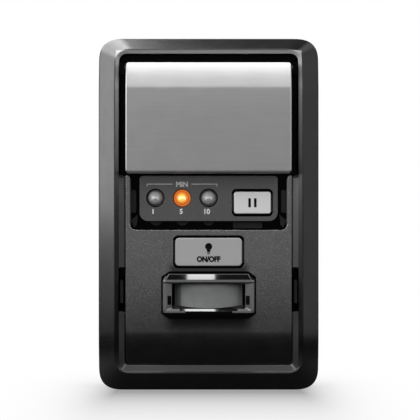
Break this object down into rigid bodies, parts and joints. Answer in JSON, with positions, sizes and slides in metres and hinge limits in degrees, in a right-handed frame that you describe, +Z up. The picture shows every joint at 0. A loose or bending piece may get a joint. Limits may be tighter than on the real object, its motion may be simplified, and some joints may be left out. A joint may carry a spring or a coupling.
{
  "type": "motion detecting wall control",
  "caption": "Wall-mounted garage door control with a hinged push bar, light and hold buttons, timer indicator lamps and a hooded motion sensor.",
  "frame": {"origin": "middle of the back face, on the wall plane", "axes": "+Z up the wall, +X to the right as one faces the control, -Y out of the wall to the viewer"},
  "size_m": [0.074, 0.026, 0.1186],
  "materials": {
    "frame_gloss": "high gloss black moulding",
    "housing_black": "fine matte black moulding",
    "cover_texture": "dark grey fine spark texture",
    "chassis_gloss": "gloss black moulding",
    "panel_grey": "smooth satin dark grey",
    "board_green": "solder mask over fibreglass",
    "screw_steel": "zinc plated steel",
    "pin_steel": "turned steel",
    "bar_silver": "satin silver metallic coat with fine streaks",
    "dome_rubber": "translucent silicone",
    "button_grey": "satin light grey",
    "learn_yellow": "satin yellow",
    "lamp_clear": "clear cast epoxy",
    "lamp_amber": "lit amber epoxy",
    "lead_tin": "tinned wire",
    "hood_gloss": "gloss black moulding",
    "lens_milky": "milky grey moulded lens",
    "can_metal": "nickel plated can",
    "filter_dark": "dark infrared filter",
    "component_black": "black moulding compound",
    "terminal_brass": "plain brass",
    "capacitor_sleeve": "printed sleeve, no print"
  },
  "bodies": {
    "housing": {"bezel_frame": "frame_gloss", "rear_housing": "housing_black", "front_cover": "cover_texture", "inner_chassis": "chassis_gloss", "timer_panel": "panel_grey", "circuit_board": "board_green", "board_screws": "screw_steel", "chassis_screws": "screw_steel", "push_bar_dome": "dome_rubber", "light_button_dome": "dome_rubber", "hold_button_dome": "dome_rubber", "learn_button_dome": "dome_rubber", "lamp_one_minute": "lamp_clear", "lamp_five_minute": "lamp_amber", "lamp_ten_minute": "lamp_clear", "lamp_spacers": "component_black", "lamp_leads": "lead_tin", "sensor_housing": "hood_gloss", "fresnel_lens": "lens_milky", "sensor_can": "can_metal", "sensor_window": "filter_dark", "terminal_block": "component_black", "terminal_plates": "terminal_brass", "terminal_screws": "screw_steel", "controller_chip": "component_black", "reservoir_capacitor": "capacitor_sleeve", "clock_crystal": "can_metal", "chip_resistors": "component_black", "rectifier_diodes": "component_black", "locator_lamp": "lamp_clear"},
    "push_bar": {"push_bar": "bar_silver", "hinge_pin_left": "pin_steel", "hinge_pin_right": "pin_steel"},
    "light_button": {"light_button": "button_grey"},
    "hold_open_button": {"hold_open_button": "button_grey"},
    "learn_button": {"learn_button": "learn_yellow"}
  },
  "joints": [
    {"name": "push_bar_hinge", "type": "hinge", "parent": "housing", "child": "push_bar", "pos_m": [0, -0.0175, 0.0485], "axis": [-1, 0, 0], "range_deg": [-1.8, 95], "stiffness_Nm_per_rad": 0.02, "springref_deg": 0.57, "deforming": ["push_bar_dome"]},
    {"name": "light_button_press", "type": "slide", "parent": "housing", "child": "light_button", "axis": [0, 1, 0], "range_m": [0, 0.0008], "stiffness_N_per_m": 500, "springref_m": -0.0005, "deforming": ["light_button_dome"]},
    {"name": "hold_open_button_press", "type": "slide", "parent": "housing", "child": "hold_open_button", "axis": [0, 1, 0], "range_m": [0, 0.0008], "stiffness_N_per_m": 500, "springref_m": -0.0005, "deforming": ["hold_button_dome"]},
    {"name": "learn_button_press", "type": "slide", "parent": "housing", "child": "learn_button", "axis": [0, 1, 0], "range_m": [0, 0.0005], "stiffness_N_per_m": 500, "springref_m": -0.0005, "deforming": ["learn_button_dome"]}
  ]
}
